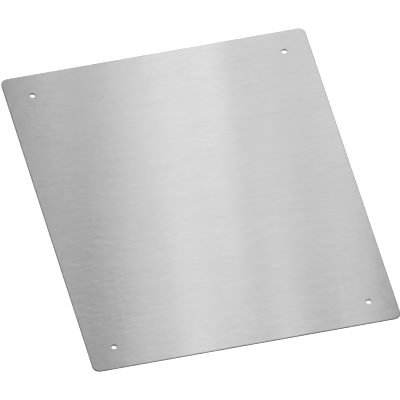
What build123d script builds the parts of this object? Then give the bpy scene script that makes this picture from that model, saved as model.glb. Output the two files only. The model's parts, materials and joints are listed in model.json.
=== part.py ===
from build123d import *
import os

# Flat rectangular cover plate, cut from one piece of brushed stainless sheet.
# Frame: X across the plate (the direction of the grain), Y along its longer
# side, Z up through the sheet. The origin is at the middle of the underside,
# so the plate lies on Z = 0 with its brushed face up.
# All sizes are in millimetres.

# ---- driving dimensions ----
plate_width = 240.0        # overall, along X
plate_length = 300.0       # overall, along Y
sheet_thickness = 1.5      # along Z

corner_radius = 5.6        # the four corners in plan
hole_inset = 20.7          # hole centre to the nearest edge, both ways
hole_diameter = 4.3        # plain through hole, clearance for an M4 screw

edge_break = 0.20          # rounding of the outer edges, top and bottom
rim_break = 0.12           # chamfer left by deburring the hole rims

# ---- derived ----
hole_spacing_x = plate_width - 2 * hole_inset    # 198.6
hole_spacing_y = plate_length - 2 * hole_inset   # 258.6
tol = 1e-3


def outer_edges(part):
    """The two closed loops of edges round the outside, top and bottom."""
    keep = []
    for z in (0.0, sheet_thickness):
        for edge in part.edges():
            box = edge.bounding_box()
            flat = abs(box.min.Z - z) < tol and abs(box.max.Z - z) < tol
            if flat:
                keep.append(edge)
    return keep


def hole_rims(part):
    """The circles where the holes meet the two flat faces."""
    keep = []
    for edge in part.edges().filter_by(GeomType.CIRCLE):
        centre = edge.arc_center
        near_hole = (
            abs(abs(centre.X) - hole_spacing_x / 2) < tol
            and abs(abs(centre.Y) - hole_spacing_y / 2) < tol
        )
        if near_hole and abs(edge.radius - hole_diameter / 2) < tol:
            keep.append(edge)
    return keep


# ---- blank: a rounded rectangle of sheet ----
outline = RectangleRounded(plate_width, plate_length, corner_radius)
blank = extrude(outline, amount=sheet_thickness)

# The cut edges are lightly rounded all the way round, top and bottom.
blank = fillet(outer_edges(blank), edge_break)

# ---- four screw holes, one in each corner ----
drill = Pos(0, 0, -1) * Cylinder(
    hole_diameter / 2,
    sheet_thickness + 2,
    align=(Align.CENTER, Align.CENTER, Align.MIN),
)
plate = blank
for x in (-hole_spacing_x / 2, hole_spacing_x / 2):
    for y in (-hole_spacing_y / 2, hole_spacing_y / 2):
        plate = plate - Pos(x, y, 0) * drill

# Each hole is deburred on both faces.
plate = chamfer(hole_rims(plate), rim_break)

solid = plate.solids()[0]

print("solids", len(plate.solids()))
print("size", solid.bounding_box().size)
print("volume mm3", round(solid.volume, 1))
print("faces", len(solid.faces()), "valid", solid.is_valid)

os.makedirs("parts", exist_ok=True)
export_step(solid, "parts/cover_plate.step")
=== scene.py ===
import json
import math

import bpy
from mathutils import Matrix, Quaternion, Vector


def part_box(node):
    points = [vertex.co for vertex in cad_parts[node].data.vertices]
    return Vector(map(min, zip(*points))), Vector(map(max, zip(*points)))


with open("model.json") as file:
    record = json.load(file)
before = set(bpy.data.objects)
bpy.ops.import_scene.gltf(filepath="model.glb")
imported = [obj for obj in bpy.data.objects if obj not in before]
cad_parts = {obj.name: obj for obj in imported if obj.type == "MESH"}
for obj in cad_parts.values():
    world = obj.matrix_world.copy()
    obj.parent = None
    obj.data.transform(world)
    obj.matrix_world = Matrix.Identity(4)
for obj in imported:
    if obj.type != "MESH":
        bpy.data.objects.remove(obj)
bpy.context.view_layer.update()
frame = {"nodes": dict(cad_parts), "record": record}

scene = bpy.context.scene
MM = 0.001

# ---------------------------------------------------------------- the frame
plate = frame["nodes"]["cover_plate"]
lo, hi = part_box("cover_plate")
WIDTH = hi[0] - lo[0]           # along X, the way the grain runs
LENGTH = hi[1] - lo[1]
THICK = hi[2] - lo[2]
screws = [m for m in frame["record"]["mounts"] if m["name"] == "screw_holes"][0]
HOLE_X = screws["dims"]["spacing_x_mm"] * MM / 2
HOLE_Y = screws["dims"]["spacing_y_mm"] * MM / 2
HOLE_R = screws["dims"]["hole_r_mm"] * MM
CORNER_R = 5.6 * MM             # the outline's rounded corners

# ---------------------------------------------------------------- camera
# A very long lens a long way off, so the plate's opposite sides stay parallel.
CAM_AZ = math.radians(-15.506)
CAM_EL = math.radians(49.166)
CAM_ROLL = math.radians(1.840)
LENS = 1700.0
CAM_DIST = 14.3628
AIM_RIGHT, AIM_UP = 0.190 * MM, -1.040 * MM

back = Vector((math.sin(CAM_AZ) * math.cos(CAM_EL), -math.cos(CAM_AZ) * math.cos(CAM_EL), math.sin(CAM_EL)))
right = Vector((math.cos(CAM_AZ), math.sin(CAM_AZ), 0.0))
up = back.cross(right)
aim = Vector((0.0, 0.0, (lo[2] + hi[2]) / 2)) + right * AIM_RIGHT + up * AIM_UP
cam_data = bpy.data.cameras.new("camera")
cam_data.type = "PERSP"
cam_data.sensor_width = 36.0
cam_data.lens = LENS
cam_data.clip_start = 1.0
cam_data.clip_end = 40.0
camera = bpy.data.objects.new("camera", cam_data)
scene.collection.objects.link(camera)
camera.rotation_mode = "QUATERNION"
camera.location = aim + back * CAM_DIST
turn = (-back).to_track_quat("-Z", "Y")
camera.rotation_quaternion = Quaternion(back, CAM_ROLL) @ turn
scene.camera = camera

scene.view_settings.view_transform = "Standard"
scene.view_settings.look = "None"
scene.view_settings.exposure = 0.0
scene.view_settings.gamma = 1.0


# ---------------------------------------------------------------- node helpers
class Tree:
    """Short calls for building a shader tree."""

    def __init__(self, nt):
        self.nt = nt
        nt.nodes.clear()

    def new(self, kind, **props):
        n = self.nt.nodes.new(kind)
        for k, v in props.items():
            setattr(n, k, v)
        return n

    def put(self, socket, value):
        if isinstance(value, bpy.types.NodeSocket):
            self.nt.links.new(value, socket)
        elif value is not None:
            socket.default_value = value

    def math(self, op, a, b=None, c=None, clamp=False):
        n = self.new("ShaderNodeMath", operation=op, use_clamp=clamp)
        self.put(n.inputs[0], a)
        self.put(n.inputs[1], b)
        if c is not None:
            self.put(n.inputs[2], c)
        return n.outputs[0]

    def step(self, x, start, end):
        """0 before start, 1 after end, smooth between."""
        n = self.new("ShaderNodeMapRange", interpolation_type="SMOOTHSTEP", clamp=True)
        self.put(n.inputs["Value"], x)
        n.inputs["From Min"].default_value = start
        n.inputs["From Max"].default_value = end
        return n.outputs["Result"]

    def remap(self, x, a, b, c, d, clamp=True):
        n = self.new("ShaderNodeMapRange", clamp=clamp)
        self.put(n.inputs["Value"], x)
        n.inputs["From Min"].default_value = a
        n.inputs["From Max"].default_value = b
        n.inputs["To Min"].default_value = c
        n.inputs["To Max"].default_value = d
        return n.outputs["Result"]

    def mix(self, t, a, b):
        n = self.new("ShaderNodeMix", data_type="FLOAT")
        self.put(n.inputs[0], t)
        self.put(n.inputs[2], a)
        self.put(n.inputs[3], b)
        return n.outputs[0]

    def mix_colour(self, t, a, b):
        n = self.new("ShaderNodeMix", data_type="RGBA")
        self.put(n.inputs[0], t)
        self.put(n.inputs[6], a)
        self.put(n.inputs[7], b)
        return n.outputs[2]

    def mix_vector(self, t, a, b):
        n = self.new("ShaderNodeMix", data_type="VECTOR")
        self.put(n.inputs[0], t)
        self.put(n.inputs[4], a)
        self.put(n.inputs[5], b)
        return n.outputs[1]

    def combine(self, x, y, z):
        n = self.new("ShaderNodeCombineXYZ")
        for i, v in enumerate((x, y, z)):
            self.put(n.inputs[i], v)
        return n.outputs[0]

    def noise(self, vector, scale=1.0, detail=2.0, rough=0.5, w=None):
        n = self.new("ShaderNodeTexNoise", noise_dimensions="3D" if w is None else "4D")
        self.put(n.inputs["Vector"], vector)
        n.inputs["Scale"].default_value = scale
        n.inputs["Detail"].default_value = detail
        n.inputs["Roughness"].default_value = rough
        if w is not None:
            n.inputs["W"].default_value = w
        return n.outputs[0]


# ---------------------------------------------------------------- brushed stainless
FACE, BACK = (0.62, 0.62, 0.62), (0.50, 0.50, 0.495)
# Painted shade: cut edges and hole walls get a near-black base colour, the two ends darker than the long sides.
SHADED_CUT_LONG, SHADED_CUT_END, SHADED_HOLE_WALL = (0.098, 0.098, 0.098), (0.045, 0.045, 0.045), (0.045, 0.045, 0.045)
# Painted highlight on the long arrises, painted shade on the end and hole arrises.
ARRIS_LONG_HIGHLIGHT, ARRIS_END_SHADE, ARRIS_HOLE_SHADE = (0.85, 0.85, 0.845, 1), (0.07, 0.07, 0.07, 1), (0.20, 0.20, 0.20, 1)
END_SHADE_DEPTH = 0.5                       # how much darker the painted shade line along the ends is
ROUGH, BACK_ROUGH = 0.320, 0.46
STREAK_TONE, THREAD_TONE, HAIR_TONE, BAND_TONE = 0.066, 0.072, 0.06, 0.045
STREAK_ROUGH, CLOUD_ROUGH = 0.01, 0.006
STREAK_UM, THREAD_UM, HAIR_UM = 168.0, 86.0, 3.0       # relief heights, micrometres


def brushed_stainless():
    """Sheet with a belt-brushed face whose lines run along X, cut edges and a duller back; painted shade on the cut
    edges, rims and end lines, a painted highlight on the long arrises.
    """
    mat = bpy.data.materials.new("brushed_stainless")
    mat.use_nodes = True
    t = Tree(mat.node_tree)
    out = t.new("ShaderNodeOutputMaterial")
    bsdf = t.new("ShaderNodeBsdfPrincipled")
    t.nt.links.new(bsdf.outputs[0], out.inputs[0])

    coords = t.new("ShaderNodeTexCoord")
    place = t.new("ShaderNodeSeparateXYZ")
    t.put(place.inputs[0], coords.outputs["Object"])
    x = t.math("MULTIPLY", place.outputs[0], 1000.0)      # millimetres
    y = t.math("MULTIPLY", place.outputs[1], 1000.0)
    z = t.math("MULTIPLY", place.outputs[2], 1000.0)
    facing = t.new("ShaderNodeSeparateXYZ")
    t.put(facing.inputs[0], coords.outputs["Normal"])
    nx, ny, nz = facing.outputs
    top = t.step(nz, 0.90, 0.995)
    under = t.step(t.math("MULTIPLY", nz, -1.0), 0.90, 0.995)
    side = t.math("SUBTRACT", 1.0, t.step(t.math("ABSOLUTE", nz), 0.25, 0.60))
    shaded_end_side = t.math("MULTIPLY", side, t.step(t.math("ABSOLUTE", nx), 0.55, 0.95))
    painted_arris = t.math("SUBTRACT", t.math("SUBTRACT", 1.0, side), t.math("ADD", top, under), clamp=True)

    def around(v, k):
        """k * (v - 0.5)"""
        return t.math("MULTIPLY", t.math("SUBTRACT", v, 0.5), k)

    # The brushed lines wander a little across their own direction.
    wander = around(t.noise(t.combine(t.math("DIVIDE", x, 34.0), t.math("DIVIDE", y, 46.0), 3.1), detail=1.0), 3.4)
    ripple = around(t.noise(t.combine(t.math("DIVIDE", x, 8.0), t.math("DIVIDE", y, 9.0), 7.7), detail=1.0), 1.5)
    yb = t.math("ADD", t.math("ADD", y, wander), ripple)

    def lines(length, pitch, seed, detail=1.0, rough=0.5):
        v = t.combine(t.math("DIVIDE", x, length), t.math("DIVIDE", yb, pitch), seed)
        return t.noise(v, detail=detail, rough=rough)

    hair = lines(30.0, 0.22, 11.3)            # the abrasive's own scratches
    thread = lines(6.0, 3.0, 23.9)
    streak = lines(24.0, 4.4, 37.2)           # what shows as grain from a metre away
    band = lines(80.0, 12.0, 51.6)
    patch = t.noise(t.combine(t.math("DIVIDE", x, 42.0), t.math("DIVIDE", y, 30.0), 94.1), detail=1.0)
    patch = t.remap(patch, 0.30, 0.70, 0.35, 1.65)     # the grain is stronger in places
    cloud = t.noise(t.combine(t.math("DIVIDE", x, 60.0), t.math("DIVIDE", y, 38.0), 63.0), detail=2.0)

    # Single deeper scratches, a few centimetres long.
    ridge = t.math("ABSOLUTE", t.math("SUBTRACT", lines(48.0, 5.5, 71.8, 0.0), 0.5))
    mark = t.math("SUBTRACT", 1.0, t.step(ridge, 0.0, 0.012))
    mark = t.math("MULTIPLY", mark, t.step(lines(26.0, 9.0, 83.4, 0.0), 0.52, 0.66))

    tone = t.math("ADD", around(streak, STREAK_TONE), around(thread, THREAD_TONE))
    tone = t.math("MULTIPLY", tone, patch)
    tone = t.math("ADD", tone, around(hair, HAIR_TONE))
    tone = t.math("ADD", tone, around(band, BAND_TONE))
    tone = t.math("SUBTRACT", tone, t.math("MULTIPLY", mark, 0.05))
    tone = t.math("ADD", 1.0, tone)

    # Hole walls: within a hair of the drilled cylinders.
    hx = t.math("SUBTRACT", t.math("ABSOLUTE", x), HOLE_X / MM)
    hy = t.math("SUBTRACT", t.math("ABSOLUTE", y), HOLE_Y / MM)
    off_hole = t.math("SQRT", t.math("ADD", t.math("MULTIPLY", hx, hx), t.math("MULTIPLY", hy, hy)))
    in_hole = t.math("SUBTRACT", 1.0, t.step(off_hole, HOLE_R / MM + 0.25, HOLE_R / MM + 0.45))

    # How far inside the rounded outline, in millimetres.
    qx = t.math("SUBTRACT", t.math("ABSOLUTE", x), (WIDTH / 2 - CORNER_R) / MM)
    qy = t.math("SUBTRACT", t.math("ABSOLUTE", y), (LENGTH / 2 - CORNER_R) / MM)
    cx, cy = t.math("MAXIMUM", qx, 0.0), t.math("MAXIMUM", qy, 0.0)
    corner = t.math("SQRT", t.math("ADD", t.math("MULTIPLY", cx, cx), t.math("MULTIPLY", cy, cy)))
    inside = t.math("SUBTRACT", CORNER_R / MM, t.math("ADD", corner, t.math("MINIMUM", t.math("MAXIMUM", qx, qy), 0.0)))
    # Painted shade: a thin darker line on the face along the two ends, just inside the outline.
    at_end = t.step(t.math("ABSOLUTE", x), WIDTH / MM / 2 - 4.5, WIDTH / MM / 2 - 1.5)
    end_shade = t.math("MULTIPLY", t.math("SUBTRACT", 1.0, t.step(inside, 0.25, 0.75)), at_end)
    tone = t.math("MULTIPLY", tone, t.math("SUBTRACT", 1.0, t.math("MULTIPLY", end_shade, END_SHADE_DEPTH)))

    # Cut edges: fine upright lines from the cutter. Their near-black base colour is painted shade, darker still on the
    # two ends than on the long sides.
    cut = t.noise(t.combine(t.math("DIVIDE", x, 0.34), t.math("DIVIDE", y, 0.34), t.math("DIVIDE", z, 3.0)), detail=2.0)
    cut_tone = t.math("ADD", 1.0, around(cut, 0.7))

    bsdf.inputs["Metallic"].default_value = 1.0
    bsdf.inputs["Anisotropic"].default_value = 0.981

    def scaled(colour, k):
        n = t.new("ShaderNodeVectorMath", operation="SCALE")
        n.inputs[0].default_value = colour
        t.put(n.inputs["Scale"], k)
        return n.outputs[0]

    face = scaled(FACE, tone)
    back = scaled(BACK, t.math("ADD", 1.0, t.math("ADD", around(streak, 0.05), around(cloud, 0.08))))
    base = t.mix_colour(under, face, back)
    # Painted shade on the cut edges and hole walls, darker on the ends.
    shaded_edge = t.mix_colour(shaded_end_side, scaled(SHADED_CUT_LONG, cut_tone), scaled(SHADED_CUT_END, cut_tone))
    shaded_edge = t.mix_colour(in_hole, shaded_edge, scaled(SHADED_HOLE_WALL, cut_tone))
    # Painted highlight on the long arrises, painted shade on the end and hole arrises.
    rim_highlight_and_shade = t.mix_colour(t.step(t.math("ABSOLUTE", nx), 0.12, 0.40), ARRIS_LONG_HIGHLIGHT, ARRIS_END_SHADE)
    rim_highlight_and_shade = t.mix_colour(in_hole, rim_highlight_and_shade, ARRIS_HOLE_SHADE)
    base = t.mix_colour(painted_arris, base, rim_highlight_and_shade)
    base = t.mix_colour(side, base, shaded_edge)
    t.put(bsdf.inputs["Base Color"], base)

    rough = t.math("ADD", ROUGH, around(streak, STREAK_ROUGH))
    rough = t.math("ADD", rough, around(thread, 0.02))
    rough = t.math("ADD", rough, around(cloud, CLOUD_ROUGH))
    rough = t.mix(under, rough, t.math("ADD", BACK_ROUGH, around(cloud, 0.05)))
    rough = t.mix(side, rough, t.math("ADD", 0.50, around(cut, 0.2)))
    t.put(bsdf.inputs["Roughness"], rough)

    # Relief, in micrometres: lines on the faces, cutter lines on the edges.
    relief = t.math("ADD", around(streak, STREAK_UM), around(thread, THREAD_UM))
    relief = t.math("ADD", relief, around(hair, HAIR_UM))
    relief = t.math("SUBTRACT", relief, t.math("MULTIPLY", mark, 3.0))
    relief = t.mix(side, relief, around(cut, 30.0))
    bump = t.new("ShaderNodeBump")
    bump.inputs["Strength"].default_value = 1.0
    bump.inputs["Distance"].default_value = 1e-6
    t.put(bump.inputs["Height"], relief)
    t.put(bsdf.inputs["Normal"], bump.outputs[0])

    tangent = t.mix_vector(side, (0.0, 1.0, 0.02), (0.0, 0.02, 1.0))
    t.put(bsdf.inputs["Tangent"], tangent)
    return mat


steel = brushed_stainless()
for s in plate.material_slots:
    s.material = steel
if not plate.material_slots:
    plate.data.materials.append(steel)

# ---------------------------------------------------------------- floor
def floor_material():
    mat = bpy.data.materials.new("floor")
    mat.use_nodes = True
    t = Tree(mat.node_tree)
    out = t.new("ShaderNodeOutputMaterial")
    bsdf = t.new("ShaderNodeBsdfPrincipled")
    bsdf.inputs["Base Color"].default_value = (0.6, 0.6, 0.6, 1)
    bsdf.inputs["Roughness"].default_value = 0.9
    bsdf.inputs["Specular IOR Level"].default_value = 0.0
    bsdf.inputs["Emission Color"].default_value = (1, 1, 1, 1)
    bsdf.inputs["Emission Strength"].default_value = 0.95
    t.nt.links.new(bsdf.outputs[0], out.inputs[0])
    return mat


half = 6.0
floor_mesh = bpy.data.meshes.new("floor")
floor_mesh.from_pydata([(-half, -half, 0), (half, -half, 0), (half, half, 0), (-half, half, 0)], [], [(0, 1, 2, 3)])
floor = bpy.data.objects.new("floor", floor_mesh)
floor.location = (0, 0, lo[2] - 0.00002)
floor_mesh.materials.append(floor_material())
scene.collection.objects.link(floor)

# ---------------------------------------------------------------- studio light
world = bpy.data.worlds.new("studio")
scene.world = world
world.use_nodes = True
w = Tree(world.node_tree)
w_out = w.new("ShaderNodeOutputWorld")
w_bg = w.new("ShaderNodeBackground")
w.nt.links.new(w_bg.outputs[0], w_out.inputs[0])
w_dir = w.new("ShaderNodeTexCoord")
w_sep = w.new("ShaderNodeSeparateXYZ")
w.put(w_sep.inputs[0], w_dir.outputs["Generated"])
ramp = w.new("ShaderNodeValToRGB")
ramp.color_ramp.interpolation = "EASE"
stops = ramp.color_ramp.elements
stops[0].position, stops[0].color = 0.0, (1, 1, 1, 1)
stops[1].position, stops[1].color = 1.0, (0.25, 0.25, 0.25, 1)
for pos, v in ((0.10, 0.92), (0.22, 0.76), (0.38, 0.50), (0.6, 0.30)):
    e = stops.new(pos)
    e.color = (v, v, v, 1)
w.put(ramp.inputs[0], w_sep.outputs[2])
w.put(w_bg.inputs[0], ramp.outputs[0])
w_bg.inputs[1].default_value = 1.0

# Softboxes hang level above the plate: name, centre, size, turn about Z, radiance.
SOFTBOXES = [
    ("strip_a", -0.034, 0.423, 0.147, 0.052, 1.104, -10.8, 0.311),
    ("strip_b", -0.031, 0.039, 0.138, 0.024, 0.439, -10.5, 0.168),
    ("strip_c", 0.005, 0.022, 0.400, 0.103, 0.255, -16.6, 0.610),
    ("strip_d", 0.034, 0.069, 0.277, 0.049, 0.876, -8.3, 0.648),
    ("strip_e", 0.064, -0.185, 0.293, 0.028, 0.775, -8.5, 1.228),
    ("strip_f", 0.088, 0.345, 0.134, 0.021, 0.883, -8.2, 0.306),
    ("strip_g", 0.143, 0.448, 0.191, 0.036, 1.608, -3.5, 0.234),
    ("strip_h", 0.157, 0.422, 0.435, 0.311, 0.102, 7.1, 2.927),
    ("strip_i", 0.162, 0.536, 0.223, 0.018, 0.657, -13.0, 0.256),
    ("strip_j", 0.194, 0.243, 0.332, 0.034, 0.758, -8.6, 0.788),
]


def softbox(name, x, y, z, w, l, deg, radiance):
    data = bpy.data.lights.new(name, "AREA")
    data.shape = "RECTANGLE"
    data.size, data.size_y = w, l
    # radiance (W/m2/sr) of a one-sided Lambertian panel = power / (pi * area)
    data.energy = radiance * math.pi * w * l
    ob = bpy.data.objects.new(name, data)
    ob.location = (x, y, z)
    ob.rotation_euler = (0, 0, math.radians(deg))
    ob.visible_camera = False
    scene.collection.objects.link(ob)
    return ob


# Larger panels stand round the plate and face it, lighting it from the other sides:
# name, centre, width, height, radiance.
PANELS = [
    ("panel_left", (-0.72, 0.69, 0.46), 0.13, 0.85, 0.95),
    ("panel_right", (0.66, 0.69, 0.46), 0.13, 0.85, 0.95),
    ("panel_near_right", (0.76, -0.80, 0.30), 0.15, 0.54, 1.10),
    ("panel_near_left", (-0.80, -0.76, 0.30), 0.15, 0.54, 1.10),
]
for box in SOFTBOXES:
    softbox(*box)
for name, centre, wide, high, radiance in PANELS:
    ob = softbox(name, *centre, wide, high, 0.0, radiance)
    ob.rotation_euler = (-Vector(centre)).to_track_quat("-Z", "Y").to_euler()
